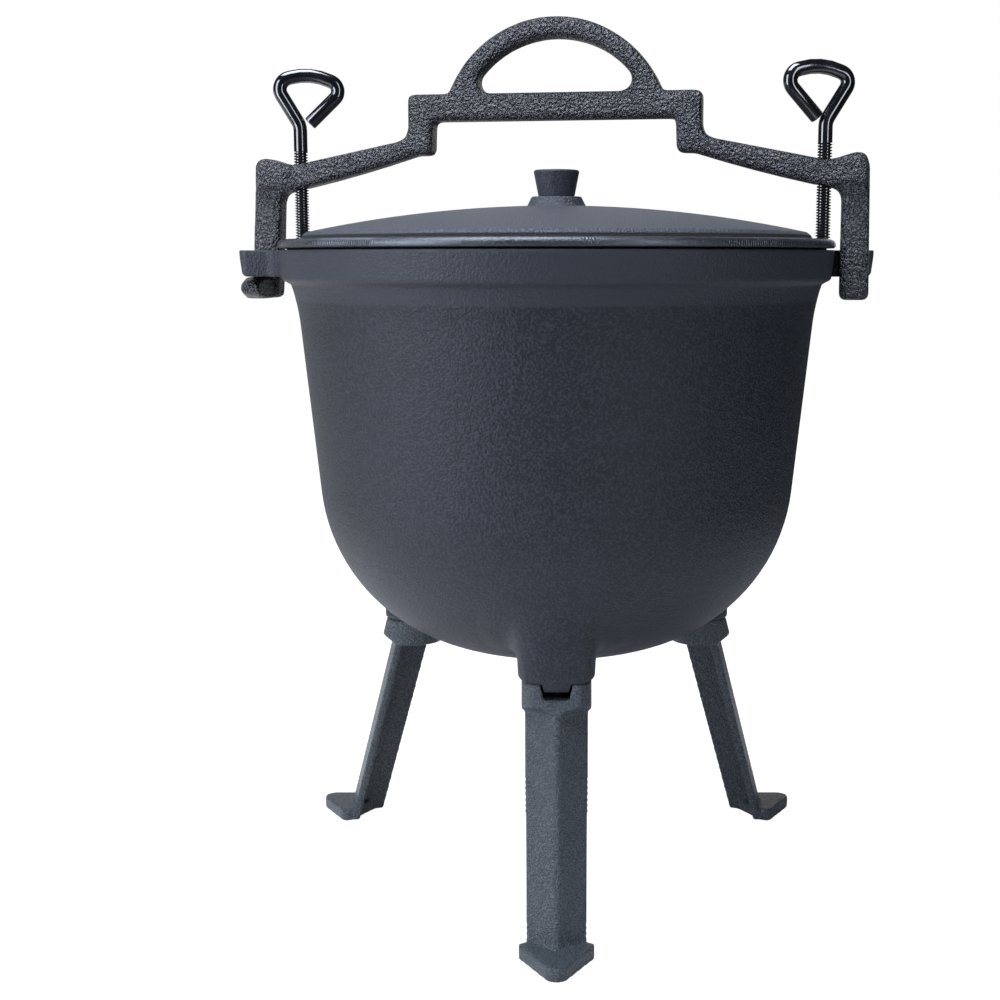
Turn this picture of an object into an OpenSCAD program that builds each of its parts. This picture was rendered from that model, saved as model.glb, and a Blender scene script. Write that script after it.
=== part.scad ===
// Cast iron cauldron on three bolted legs, with a lid that a hooked carrying yoke holds
// down by two thumbscrews. The axis of the pot is Z and the feet stand on z = 0.

/* [Pot] */
// Outer radius of the rim band at its top edge
rim_r = 150; // [130:1:180]
// Height of the rim above the floor
rim_z = 345; // [335:1:400]
// Height of the thick band under the rim
band_h = 16.5; // [14:0.5:22]
// How far the band narrows towards its lower edge
band_taper = 1.5; // [0:0.5:3]
// How far the wall just under the band stands in from the rim
wall_step = 8.6; // [5:0.2:12]
// Angle by which the wall leans in from the vertical
wall_draft = 5.8; // [2:0.2:8]
// Thickness of the cast wall
wall_t = 4.5; // [3.5:0.5:6]
// Radius of the round between the wall and the base
corner_r = 98; // [85:1:105]
// Radius of the shallow dome of the base
base_r = 209; // [180:1:260]
// Depth of the pot outside, rim to base
pot_depth = 223.2; // [215:0.2:240]
// Radius of the flare that joins the wall to the band
flare_r = 110; // [60:5:150]
// Height of that flare
flare_h = 22; // [12:1:26]

/* [Lugs] */
// How far the two lugs stand out from the rim band
lug_out = 21.5; // [18:0.5:25]
// Width of a lug, measured round the rim
lug_w = 34; // [26:1:38]
// Thickness of a lug
lug_h = 14; // [10:0.5:16]
// Radius of the corners of a lug
lug_corner = 5; // [2:0.5:8]

/* [Lid] */
// How far the edge of the lid stands out past the rim
lid_over = 0.4; // [0:0.1:2]
// Thickness of the flat flange of the lid
flange_t = 5.6; // [4:0.2:8]
// How far the step at the foot of the dome stands in from the rim
shoulder_in = 12; // [10:0.5:16]
// Height of that step above the flange
shoulder_h = 3.2; // [2:0.2:5]
// Radius of the dome of the lid
dome_r = 640; // [500:10:900]
// Thickness of the dome
lid_t = 4.5; // [3.5:0.5:6]
// Depth of the ring under the lid that centres it in the pot
ring_h = 5; // [3:0.5:8]
// Play between that ring and the inside of the pot
ring_play = 1; // [0.5:0.5:3]
// Width from the rim edge over which the flange stands clear
relief_w = 5; // [3:0.5:8]
// Height of that clear gap
relief_h = 1; // [0.5:0.1:2]
// Radius of the top of the disc that carries the knob
disc_r = 13.9; // [12:0.1:18]
// Height of that disc above the dome
disc_h = 5; // [3:0.5:8]

/* [Knob] */
// Radius of the knob at its foot
knob_foot_r = 9.9; // [8:0.1:12]
// Radius of the knob at its top
knob_top_r = 12.4; // [10:0.1:15]
// Height of the knob
knob_h = 15; // [12:0.5:22]
// Radius of the screw that holds the knob
knob_screw_r = 2.5; // [2:0.5:3]

/* [Yoke] */
// Turn of the yoke against the lugs, seen from above
yoke_turn = -10; // [-14:1:-8]
// How far the middle of the yoke sits off the pot axis
yoke_off = -1.2; // [-1.5:0.1:1.5]
// Height of the underside of the grip bar above the rim
bar_lift = 69.4; // [60:0.2:90]
// Height of the bar
bar_h = 14.6; // [11:0.2:20]
// Half length of the bar, to the outside of the risers
bar_half = 80.3; // [75:0.1:95]
// Width of a riser
riser_w = 14.3; // [12:0.1:22]
// Height of the outer end of an arm below the underside of the bar
arm_drop = 38; // [30:0.1:45]
// Height of an arm at its outer end, measured straight up
arm_h = 14; // [11:0.2:18]
// How much lower in height an arm is at the bar
arm_thin = 4; // [0:0.5:6]
// Fall of the arms towards their ends, in degrees
arm_fall = 11.3; // [8:0.1:20]
// Clearance between the hooked legs and the rim
hook_clear = 3.6; // [3:0.1:8]
// Width of a hooked leg
hook_w = 15.2; // [12:0.1:18]
// How far the left hook is bent outwards at its toe
hook_bend = 3.6; // [0:0.1:4]
// Thickness of a hooked leg, front to back
hook_t = 15; // [12:0.5:18]
// Thickness of the bar and arms, front to back
yoke_t = 17; // [14:0.5:20]
// Thickness of the end blocks, front to back
block_t = 21; // [18:0.5:24]
// Height of an end block
block_h = 19.4; // [14:0.1:24]
// Length of a toe past its leg
toe_l = 30; // [24:1:34]
// Thickness of a toe at its root
toe_h = 12; // [8:0.5:14]
// Gap between a toe and the lug above it
toe_gap = 0.3; // [0.2:0.1:1]
// Outer radius of the grip arch
arch_r = 62.7; // [55:0.1:72]
// Rise of the arch above the top of the bar
arch_rise = 39.3; // [30:0.1:50]
// Thickness of the arch at its top
arch_t = 11; // [8:0.5:14]
// Offset of the arch along the bar
arch_off = 0.8; // [-2:0.1:2]
// Radius of the fillets where the arch stands on the bar, inside
arch_fillet = 6; // [2:0.5:8]
// Radius of the rounded edges of the casting
edge_r = 3; // [2:0.5:4]

/* [Thumbscrews] */
// Radius of the threaded rod
screw_r = 3.85; // [3:0.05:5]
// Radial clearance of the rod in its threaded hole
screw_play = 0.08; // [0.05:0.01:0.1]
// How far the axis of the left screw stands in from the rim
left_screw_in = 5.4; // [5:0.1:9]
// How far the axis of the right screw stands in from the rim
right_screw_in = 6.6; // [5:0.1:9]
// Height of the left screw's plain neck above the end block
left_neck_h = 16.2; // [10:0.1:40]
// Height of the right screw's plain neck above the end block
right_neck_h = 14.4; // [10:0.1:40]
// Radius of the bent wire of the finger loop
wire_r = 3.8; // [3:0.1:4.5]
// Gap between a screw tip and the lid
tip_gap = 0.3; // [0.2:0.1:1]
// Turn of the left loop about its rod
left_loop_turn = 8; // [-20:1:20]
// Turn of the right loop about its rod
right_loop_turn = 196; // [160:1:200]

/* [Legs] */
// Angle by which a leg leans out from the vertical
splay = 16.7; // [14:0.1:20]
// Distance from the nose of a foot back to the ridge of its leg at the floor
foot_reach = 17.8; // [14:0.2:22]
// Half of the angle between the two flanges of a leg
flange_angle = 51; // [45:1:60]
// Thickness of a flange
leg_t = 4.6; // [3.5:0.1:6]
// Width of a flange at the top of the leg
flange_top_w = 21.8; // [19:0.2:23]
// Width of a flange at the foot
flange_foot_w = 19.4; // [17:0.2:21]
// Height of the joint between leg and boss above the lowest point of the pot
boss_rise = 8.6; // [6:0.2:12]
// Height of the round head of a leg
head_h = 15.4; // [12:0.2:18]
// Outer radius of the head
head_r = 17.8; // [17:0.1:20]
// Wall thickness of the head
head_t = 4; // [3:0.5:5]
// Thickness of the floor of the head
head_floor = 3.5; // [3:0.5:6]
// Distance from the axis of the head to the flat on its front
flat_at = 13.2; // [12:0.1:16]
// Steepness of the underside of the head
head_cut = 28; // [20:1:40]
// Width of the notch in the head at its top
notch_w = 15.8; // [10:0.2:18]
// Depth of the notch
notch_h = 7.4; // [5:0.2:9]
// Depth of the key of the boss in the notch
key_h = 3.6; // [2:0.2:5]
// Clearance between the key and the notch
key_gap = 0.7; // [0.3:0.1:1]
// Radius of a boss at its lower end
boss_r = 19.6; // [18.5:0.1:22]
// Draft of a boss, in degrees
boss_draft = 2.5; // [0:0.5:5]
// Rounding of the lower edge of a boss
boss_round = 2.5; // [1:0.5:4]
// Radius of the fillet between a boss and the pot
boss_blend = 9; // [4:0.5:14]

/* [Feet] */
// Distance from the pot axis to the nose of a foot
nose_r = 166.6; // [160:0.2:175]
// Thickness of the foot plate
foot_t = 7.2; // [5:0.2:9]
// Half width of the foot plate
foot_half = 18.6; // [16:0.2:22]
// Half of the angle at the nose
nose_angle = 30; // [25:1:40]
// Radius of the nose
nose_round = 6.5; // [4:0.5:10]

/* [Bolts] */
// Radius of a leg bolt
bolt_r = 4; // [3:0.5:5]
// Radial clearance of a threaded bolt in its hole
thread_play = 0.05; // [0.03:0.01:0.1]
// Radial clearance of a bolt in the floor of the leg
hole_play = 0.5; // [0.3:0.1:1]
// Length of the thread in the boss
bolt_grip = 14; // [10:1:16]
// Width across the flats of the bolt head
bolt_af = 13; // [11:0.5:15]
// Height of the bolt head
bolt_head_h = 4; // [3:0.1:6]
// Outer radius of a leg washer
washer_r = 7.8; // [7:0.1:9]
// Thickness of a leg washer
washer_t = 1.4; // [1:0.1:2.5]

/* [Hidden] */
$fn = 96;
eps = 0.05;
arc_steps = 20;

// Colours
iron = [0.20, 0.22, 0.25];
yoke_iron = [0.17, 0.18, 0.20];
leg_iron = [0.24, 0.27, 0.29];
black_steel = [0.08, 0.08, 0.09];
zinc = [0.55, 0.56, 0.58];

// Directions of the three legs
front_dir = -90;
left_dir = 150;
right_dir = 30;

// Pot wall
wall_r = rim_r - wall_step;
base_z = rim_z - pot_depth;
band_z = rim_z - band_h;
lean = tan(wall_draft);
// Centre of the corner round, tangent to the leaning wall and to the base dome
centre_a = wall_r - corner_r / cos(wall_draft) - lean * band_z;
centre_b = base_z + base_r;
centre_k = base_r - corner_r;
centre_m = centre_b - centre_a * lean;
centre_q = (1 + lean * lean) * (centre_a * centre_a + centre_b * centre_b - centre_k * centre_k);
corner_z = (centre_m - sqrt(centre_m * centre_m - centre_q)) / (1 + lean * lean);
corner_x = centre_a + lean * corner_z;
// Angle at which the corner round meets the base dome
meet_a = -atan2(centre_b - corner_z, corner_x);

// Radius of the straight wall at height z, a distance in from the outer face
function wall_at(z, inset) = wall_r - lean * (band_z - z) - inset / cos(wall_draft);
// Height of the corner round at radius x, a distance in from the outer face
function corner_at(x, inset) = corner_z - sqrt(pow(corner_r - inset, 2) - pow(x - corner_x, 2));
function arc(x, z, r, a0, a1, n = arc_steps) =
    [for (i = [0:n]) let (a = a0 + (a1 - a0) * i / n) [x + r * cos(a), z + r * sin(a)]];
// Wall from its straight part down to the axis
function bowl(inset) = concat(
    arc(corner_x, corner_z, corner_r - inset, -wall_draft, meet_a),
    arc(0, centre_b, base_r - inset, meet_a, -90));

// Legs and bosses
joint_z = base_z + boss_rise;
ridge_foot_r = nose_r - foot_reach;
lean_out = tan(splay);
// Distance from the pot axis to the ridge of a leg at height z
function ridge_x(z) = ridge_foot_r - lean_out * z;
// Distance from the pot axis to the axis of the leg head at height z
function head_x(z) = ridge_x(z) - flat_at / cos(splay);
boss_at = head_x(joint_z);
boss_flat = flat_at / cos(splay);
bolt_at = boss_at + 1;
floor_z = joint_z - notch_h - 0.4;
floor_low = floor_z - head_floor;
bolt_z = floor_low - washer_t;
recess_r = washer_r + 0.9;
// Edge length of the blocks that cut the legs, larger than the whole part
wide = 2 * nose_r;

// Lid
shoulder_r = rim_r - shoulder_in;
pad_r = knob_screw_r * 2.2 + 1.5;
flange_z = rim_z + flange_t;
dome_centre = flange_z + shoulder_h - sqrt(dome_r * dome_r - shoulder_r * shoulder_r);
function dome_at(x, inset) = dome_centre + sqrt(pow(dome_r - inset, 2) - x * x);
disc_z = dome_at(0, 0) + disc_h;
seat_r = wall_at(rim_z, wall_t);
washer_z = dome_at(pad_r, lid_t);

// Yoke
bar_z = rim_z + bar_lift;
bar_top = bar_z + bar_h;
screw_at = rim_r - (left_screw_in + right_screw_in) / 2;
function screw_s(side) = side > 0 ? rim_r - right_screw_in : left_screw_in - rim_r;
hook_in = rim_r + hook_clear;
hook_out = hook_in + hook_w;
lug_low = rim_z - lug_h;
toe_z = lug_low - toe_gap;
hook_low = toe_z - toe_h;
arm_end_z = bar_z - arm_drop;
fall = tan(arm_fall);
function arm_low(s) = arm_end_z + fall * (hook_in - s)
    + arm_thin * pow((hook_in - s) / (hook_in - bar_half), 2);
function arm_top(s) = arm_end_z + arm_h + fall * (hook_in - s);
block_top = arm_end_z + block_h;
tip_z = flange_z + tip_gap;
function neck_z(side) = block_top - 2 + (side > 0 ? right_neck_h : left_neck_h);

// A 2-D shape with its corners rounded, inside and out
module softened(r) {
    offset(r = r) offset(delta = -2 * r) offset(r = r) children();
}

// Child turned to stand over one of the legs
module at_leg(dir) {
    rotate([0, 0, dir]) children();
}

// Pot: wall, rim band, lugs and leg bosses in one casting
module pot_outside() {
    rotate_extrude() polygon(concat(
        [[0, rim_z], [rim_r - 0.6, rim_z], [rim_r, rim_z - 0.6]],
        arc(rim_r - band_taper - 2.5, band_z + 2.5, 2.5, 0, -80, 6),
        [[wall_r + flare_h * flare_h / (2 * flare_r), band_z - 1.6]],
        [for (i = [1:6]) let (d = flare_h * (1 - i / 6))
            [wall_at(band_z - 1.6 - flare_h + d, 0) + d * d / (2 * flare_r),
             band_z - 1.6 - flare_h + d]],
        bowl(0)));
}

module pot_inside() {
    rotate_extrude() polygon(concat(
        [[0, rim_z + 1], [seat_r + lean, rim_z + 1]],
        bowl(wall_t)));
}

module lug_ring() {
    top = rim_r + lug_out;
    rotate_extrude() polygon(concat(
        [[wall_r - 1, rim_z], [wall_r - 1, lug_low]],
        arc(top - 1.5 - 3, lug_low + 3, 3, -90, 0, 6),
        arc(top - 1, rim_z - 1, 1, 0, 90, 4)));
}

module lug_plan() {
    out = rim_r + lug_out + 2;
    half = lug_w / 2;
    translate([rim_r - 12, -half]) square([out - rim_r + 12, lug_w]);
    // Roots that run out along the rim
    for (side = [-1, 1])
        scale([1, side]) difference() {
            translate([rim_r - 8, half - eps]) square([8 + 6, 6]);
            translate([rim_r + 6, half + 6]) circle(r = 6, $fn = 32);
        }
}

module lug_corners() {
    out = rim_r + lug_out;
    half = lug_w / 2;
    for (side = [-1, 1])
        scale([1, side]) difference() {
            translate([out - lug_corner, half - lug_corner]) square(lug_corner + 3);
            translate([out - lug_corner - 0.6, half - lug_corner]) circle(r = lug_corner, $fn = 32);
        }
}

module lug() {
    intersection() {
        lug_ring();
        translate([0, 0, lug_low - 1]) linear_extrude(lug_h + 2) difference() {
            lug_plan();
            lug_corners();
        }
    }
}

// Tilted frame of a leg head: its axis leans with the leg
module along_leg(z) {
    translate([head_x(z), 0, z]) rotate([0, -splay, 0]) children();
}

// Round with a flat towards the outside, its corners eased
module flatted(r, flat) {
    offset(r = 4, $fn = 40) offset(delta = -4) intersection() {
        circle(r = r, $fn = 64);
        translate([-2 * r, -2 * r]) square([2 * r + flat, 4 * r]);
    }
}

// The same with a slightly bulging front instead of the flat
module fronted(r, front) {
    offset(r = 8, $fn = 64) offset(delta = -8) intersection() {
        circle(r = r, $fn = 72);
        translate([front - 2 * r, 0]) circle(r = 2 * r, $fn = 120);
    }
}

module boss() {
    top = 60;
    wide = boss_r + top * tan(boss_draft);
    translate([boss_at, 0, joint_z]) difference() {
        intersection() {
            linear_extrude(top) fronted(wide, boss_flat + 0.6);
            rotate_extrude() polygon(concat(
                [[0, top], [0, 0]],
                arc(boss_r - boss_round, boss_round, boss_round, -90, 0, 5),
                [[wide, top]]));
        }
        // Eased lower edge of the front
        translate([boss_flat - 0.6, -40, 0]) rotate([0, 50, 0]) translate([0, 0, -4]) cube([4, 80, 4]);
    }
    // Fillet towards the pot, in two steps
    for (part = [0.14, 0.5])
        intersection() {
            translate([boss_at, 0, joint_z + 4]) linear_extrude(top)
                fronted(boss_r + 1 + part * boss_blend, boss_flat + 1 + part * boss_blend);
            rotate_extrude() polygon(concat(
                [[0, corner_z]], bowl(-(0.64 - part) * boss_blend)));
        }
    // Centring spigot and key
    translate([boss_at, 0, joint_z - 2.5])
        cylinder(r = head_r - head_t - 2 * key_gap, h = 3);
    intersection() {
        translate([boss_at, 0, joint_z - 10]) linear_extrude(12) fronted(boss_r, boss_flat + 0.6);
        key_shape(key_h, key_gap);
    }
}

// Trapezoid block that points outwards, as deep as the notch or the key
module key_shape(depth, gap) {
    slope = 0.27;
    half = notch_w / 2 - gap;
    translate([boss_at + head_r - head_t - 6, 0, joint_z]) rotate([90, 0, 90])
        linear_extrude(2 * head_r) polygon([
            [-half, 1], [-half, 0], [-half + slope * depth, -depth],
            [half - slope * depth, -depth], [half, 0], [half, 1]]);
}

module pot() {
    color(iron) difference() {
        union() {
            pot_outside();
            lug();
            rotate([0, 0, 180]) lug();
            for (dir = [front_dir, left_dir, right_dir]) at_leg(dir) boss();
        }
        pot_inside();
        for (dir = [front_dir, left_dir, right_dir])
            at_leg(dir) translate([bolt_at, 0, joint_z - 10])
                cylinder(r = bolt_r + thread_play, h = 10 + bolt_grip + 1);
    }
}

// Lid: shallow dome on a flat flange, with a centring ring underneath
module lid() {
    edge = rim_r + lid_over;
    top_round = 3;
    color(iron) difference() {
        rotate_extrude() polygon(concat(
            [[0, washer_z]],
            [for (i = [0:8]) let (x = pad_r + (seat_r - 7 - pad_r) * i / 8) [x, dome_at(x, lid_t)]],
            [[seat_r - 6, rim_z - ring_h], [seat_r - ring_play - 1, rim_z - ring_h],
             [seat_r - ring_play, rim_z], [edge - relief_w, rim_z],
             [edge - relief_w + 0.5, rim_z + relief_h],
             [edge - 0.8, rim_z + relief_h], [edge, rim_z + relief_h + 0.8]],
            arc(edge - top_round, flange_z - top_round, top_round, 10, 90, 6),
            [[shoulder_r + 0.8, flange_z], [shoulder_r, flange_z + 0.8],
             [shoulder_r - 1, flange_z + shoulder_h * 0.75]],
            [for (i = [0:16]) let (x = (shoulder_r - 3) * (1 - i / 16) + (disc_r + 2.2) * i / 16)
                [x, dome_at(x, 0)]],
            arc(disc_r - 1, disc_z - 1, 1, 30, 90, 4),
            [[0, disc_z]]));
        translate([0, 0, washer_z - 10]) cylinder(r = knob_screw_r + 0.3, h = 60);
    }
}

module lid_knob() {
    color(iron) difference() {
        translate([0, 0, disc_z]) rotate_extrude() polygon(concat(
            [[0, 0], [knob_foot_r - 0.5, 0], [knob_foot_r, 0.5]],
            arc(knob_top_r - 1.2, knob_h - 2, 1.2, 8, 80, 5),
            [[0, knob_h - 0.3]]));
        translate([0, 0, disc_z - 1]) cylinder(r = knob_screw_r + thread_play, h = knob_h * 0.7 + 1);
    }
}

module knob_washer() {
    color(zinc) translate([0, 0, washer_z - 1]) difference() {
        cylinder(r = knob_screw_r * 2.2, h = 1);
        translate([0, 0, -1]) cylinder(r = knob_screw_r + 0.2, h = 3);
    }
}

module knob_screw() {
    head = washer_z - 1;
    color(zinc) difference() {
        union() {
            translate([0, 0, head]) cylinder(r = knob_screw_r, h = disc_z - head + knob_h * 0.6);
            translate([0, 0, head - 3]) rotate_extrude() polygon(concat(
                [[0, 3], [knob_screw_r * 1.9, 3]],
                arc(knob_screw_r * 1.9 - 2, 2, 2, 0, -90, 5), [[0, 0]]));
        }
        // Slot in the head
        translate([-knob_screw_r * 3, -0.6, head - 4]) cube([knob_screw_r * 6, 1.2, 2.3]);
    }
}

// Yoke: its outline in the plane of the casting, one half
module arm_outline() {
    polygon(concat(
        [[-2, bar_z], [bar_half - riser_w, bar_z],
         [bar_half - riser_w + 0.8, arm_low(bar_half - 4)]],
        [for (i = [0:5]) let (x = (bar_half - 4) * (1 - i / 5) + (hook_in + 1) * i / 5) [x, arm_low(x)]],
        [[hook_out - 2, arm_end_z + 4]],
        block_crest(),
        [[screw_at - 2, arm_top(screw_at - 2)], [bar_half + 6, arm_top(bar_half + 6)],
         [bar_half + 1.5, arm_top(bar_half) + 1], [bar_half, arm_top(bar_half) + 5],
         [bar_half, bar_top], [-2, bar_top]]));
}

// Top of an end block, from its outer corner over the crest down to the screw
function block_crest() = [
    [hook_out - 1.4, block_top - 3.4], [hook_out - 3.8, block_top - 0.5],
    [hook_out - 7.8, block_top], [hook_out - 12.5, block_top - 1.4],
    [hook_out - 17.5, block_top - 3], [screw_at + 2.5, block_top - 3.5]];

module arch_outline() {
    centre = bar_top + arch_rise - arch_r;
    inner = arch_r - arch_t + 2;
    difference() {
        translate([arch_off, centre]) circle(r = arch_r, $fn = 72);
        translate([arch_off, centre - 2]) circle(r = inner, $fn = 64);
        translate([-2 * arch_r, centre - 2 * arch_r])
            square([4 * arch_r, bar_top - bar_h / 2 - centre + 2 * arch_r]);
    }
}

// Fillets inside the arch, where it stands on the bar
module arch_feet() {
    intersection() {
        translate([arch_off - 0.8 * arch_r, bar_top - 1]) square([1.6 * arch_r, 3 * arch_fillet]);
        offset(r = -arch_fillet, $fn = 40) offset(delta = arch_fillet) {
            arch_outline();
            translate([-bar_half, bar_z]) square([2 * bar_half, bar_h]);
        }
    }
}

module yoke_outline() {
    softened(2.5) {
        arch_outline();
        arch_feet();
        arm_outline();
        mirror([1, 0]) arm_outline();
    }
}

module block_outline() {
    softened(2.5) polygon(concat(
        [[screw_at + 6, arm_low(screw_at + 6) + 1.5], [hook_in, arm_end_z + 2],
         [hook_out - 1, arm_end_z + 2]],
        block_crest()));
}

// A hooked leg, bent outwards by a distance at its lower end
module leg_outline(bend) {
    polygon([[hook_in - 0.6 + bend, hook_low], [hook_out + bend, hook_low],
        [hook_out - 0.6, block_top - 4], [hook_in - 4, block_top - 6],
        [hook_in - 6, arm_low(hook_in - 6) + 3], [hook_in - 6, arm_low(hook_in - 6)],
        [hook_in - 4, arm_low(hook_in - 4)], [hook_in - 1.2, arm_end_z - 0.8],
        [hook_in, arm_end_z - 4]]);
}

// Upright slab with rounded edges, centred on the plane of the yoke
module slab(thick) {
    minkowski() {
        rotate([90, 0, 0]) translate([0, 0, -thick / 2 + edge_r])
            linear_extrude(thick - 2 * edge_r) offset(delta = -edge_r) children();
        sphere(r = edge_r, $fn = 12);
    }
}

// Toe of a hook: it tapers to a blunt end and its top falls away as a ramp
module toe(bend) {
    hull() {
        translate([hook_in + 0.6 + bend, -hook_t / 2, hook_low]) cube([hook_w - 1.6, 2, toe_h]);
        translate([hook_in + 1.4 + bend * 0.6, -hook_t / 2 - toe_l * 0.5, hook_low])
            cube([hook_w - 3.2, 1, toe_h]);
        translate([hook_in + 3.2, -hook_t / 2 - toe_l, hook_low + 2.6])
            rotate([-90, 0, 0]) translate([5.2, -3.5, 0]) scale([1.5, 1]) cylinder(r = 3.5, h = 1, $fn = 20);
    }
}

module yoke_half(bend) {
    slab(hook_t) leg_outline(bend);
    slab(block_t) block_outline();
    mirror([0, 1, 0]) toe(bend);
}

module yoke() {
    color(yoke_iron) rotate([0, 0, yoke_turn]) translate([yoke_off, 0, 0]) difference() {
        union() {
            slab(yoke_t) yoke_outline();
            yoke_half(0.6);
            rotate([0, 0, 180]) yoke_half(hook_bend);
        }
        for (side = [-1, 1])
            translate([screw_s(side) - yoke_off, 0, arm_end_z - 10])
                cylinder(r = screw_r + screw_play, h = block_h + 30);
    }
}

// Thumbscrew: one rod, bent by hand at its top into a three-cornered finger loop.
// Each step: straight run, radius of the bend after it, angle of that bend (left is positive)
left_loop = [[1, 9.2, 30.9], [16.4, 6.4, -106], [1.2, 33, -37.8], [1.2, 5.5, -112.7], [19.9, 0, 0]];
right_loop = [[1, 8.9, 33.3], [17.9, 5.4, -102.5], [1.2, 35, -38.2], [1.2, 5.9, -117.1], [20.1, 0, 0]];

module wire(steps, i = 0) {
    if (i < len(steps)) {
        run = steps[i][0];
        bend_r = steps[i][1];
        bend_a = steps[i][2];
        way = bend_a > 0 ? -1 : 1;
        translate([0, 0, -0.4]) cylinder(r = wire_r - 0.03, h = run + 0.8, $fn = 32);
        translate([0, 0, run]) {
            if (bend_a != 0)
                translate([way * bend_r, 0, 0]) rotate([90, 0, 0])
                    rotate([0, 0, way > 0 ? 180 + bend_a : 0])
                        rotate_extrude(angle = abs(bend_a)) translate([bend_r, 0]) circle(r = wire_r, $fn = 32);
            translate([way * bend_r, 0, 0]) rotate([0, -bend_a, 0]) translate([-way * bend_r, 0, 0])
                wire(steps, i + 1);
        }
    }
}

module thumbscrew(side, turn, loop) {
    neck = neck_z(side);
    color(black_steel) rotate([0, 0, yoke_turn]) translate([screw_s(side), 0, 0])
        rotate([0, 0, turn - yoke_turn]) {
            translate([0, 0, tip_z]) rotate_extrude() polygon([
                [0, 0], [screw_r - 1, 0], [screw_r, 1], [screw_r, block_top + 3 - tip_z],
                [wire_r, block_top + 3.4 - tip_z], [wire_r, neck - tip_z], [0, neck - tip_z]]);
            translate([0, 0, neck]) wire(loop);
        }
}

module left_thumbscrew() {
    thumbscrew(-1, left_loop_turn, left_loop);
}

module right_thumbscrew() {
    thumbscrew(1, right_loop_turn, right_loop);
}

// Leg: round head, angle section with its ridge outwards, and a foot plate
module angle_section() {
    for (side = [-1, 1])
        rotate([0, 0, side * flange_angle]) translate([-flange_top_w - 2, side > 0 ? -0 : -leg_t])
            square([flange_top_w + 2, leg_t]);
}

module angle_bar() {
    length = joint_z / cos(splay) + 20;
    slope = (flange_top_w - flange_foot_w) / length;
    difference() {
        translate([0, 0, -10]) linear_extrude(length) angle_section();
        // Flange tips narrow towards the foot
        for (side = [-1, 1])
            rotate([0, 0, side * flange_angle]) translate([-flange_foot_w, 0, 0])
                rotate([0, -atan(slope), 0])
                    translate([-20, -20, -30]) cube([20, 40, length + 60]);
        // Ridge taken off a little
        translate([-0.9, -10, -30]) cube([10, 20, length + 60]);
    }
}

module foot_outline() {
    reach = nose_r - nose_round;
    side_x = reach + nose_round * cos(90 - nose_angle)
        - (foot_half - nose_round * sin(90 - nose_angle)) / tan(nose_angle);
    back_x = ridge_foot_r - flange_foot_w * cos(flange_angle) - 1;
    polygon(concat(
        [[back_x, -foot_half + 3.5], [side_x - 3, -foot_half], [side_x, -foot_half]],
        [for (i = [0:12]) let (a = -(90 - nose_angle) + 2 * (90 - nose_angle) * i / 12)
            [reach + nose_round * cos(a), nose_round * sin(a)]],
        [[side_x, foot_half], [side_x - 3, foot_half], [back_x, foot_half - 3.5]]));
}

module head() {
    low = joint_z - head_h;
    difference() {
        intersection() {
            along_leg(joint_z) translate([0, 0, -40]) linear_extrude(80) flatted(head_r, flat_at);
            translate([0, -wide / 2, low]) cube([wide, wide, head_h]);
        }
        // Underside that runs back to the flanges
        for (side = [-1, 1])
            translate([ridge_x(low + 1), 0, low + 1]) rotate([0, 0, side * (90 - flange_angle)])
                rotate([0, -head_cut, 0]) translate([0, -40, -20]) cube([40, 80, 20]);
    }
}

module leg() {
    color(leg_iron) difference() {
        union() {
            head();
            // Angle bar, up to the floor of the head
            intersection() {
                translate([ridge_foot_r, 0, 0]) rotate([0, -splay, 0]) angle_bar();
                translate([0, -wide / 2, 0]) cube([wide, wide, joint_z - head_h + 2]);
            }
            linear_extrude(foot_t) foot_outline();
        }
        // Hollow of the head
        intersection() {
            along_leg(joint_z) translate([0, 0, -40]) cylinder(r = head_r - head_t, h = 80);
            translate([0, -wide / 2, floor_z]) cube([wide, wide, head_h]);
        }
        key_shape(notch_h, 0);
        translate([bolt_at, 0, floor_low - 1]) cylinder(r = bolt_r + hole_play, h = head_floor + 2);
        // Recess for the washer and the bolt head
        translate([bolt_at, 0, joint_z - head_h - 12]) cylinder(r = recess_r, h = floor_low - joint_z + head_h + 12);
    }
}

module leg_front() {
    at_leg(front_dir) leg();
}

module leg_left() {
    at_leg(left_dir) leg();
}

module leg_right() {
    at_leg(right_dir) leg();
}

// Bolts and washers that hold the legs
module leg_bolt(dir) {
    color(zinc) at_leg(dir) translate([bolt_at, 0, bolt_z]) {
        cylinder(r = bolt_r, h = joint_z - bolt_z + bolt_grip);
        translate([0, 0, -bolt_head_h]) cylinder(r = bolt_af / 2 / cos(30), h = bolt_head_h, $fn = 6);
    }
}

module leg_washer(dir) {
    color(zinc) at_leg(dir) translate([bolt_at, 0, bolt_z]) difference() {
        cylinder(r = washer_r, h = washer_t);
        translate([0, 0, -1]) cylinder(r = bolt_r + hole_play, h = washer_t + 2);
    }
}

module leg_bolt_front() {
    leg_bolt(front_dir);
}

module leg_bolt_left() {
    leg_bolt(left_dir);
}

module leg_bolt_right() {
    leg_bolt(right_dir);
}

module leg_washer_front() {
    leg_washer(front_dir);
}

module leg_washer_left() {
    leg_washer(left_dir);
}

module leg_washer_right() {
    leg_washer(right_dir);
}

pot();
lid();
lid_knob();
knob_screw();
knob_washer();
yoke();
left_thumbscrew();
right_thumbscrew();
leg_front();
leg_left();
leg_right();
leg_bolt_front();
leg_bolt_left();
leg_bolt_right();
leg_washer_front();
leg_washer_left();
leg_washer_right();
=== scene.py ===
"""Looks of the cast iron cauldron: castings, thumbscrews, their finishes, and the studio."""

import math

import bmesh
import bpy
from bpy.props import FloatProperty, FloatVectorProperty, IntProperty, PointerProperty
from mathutils import Matrix, Vector


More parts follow.
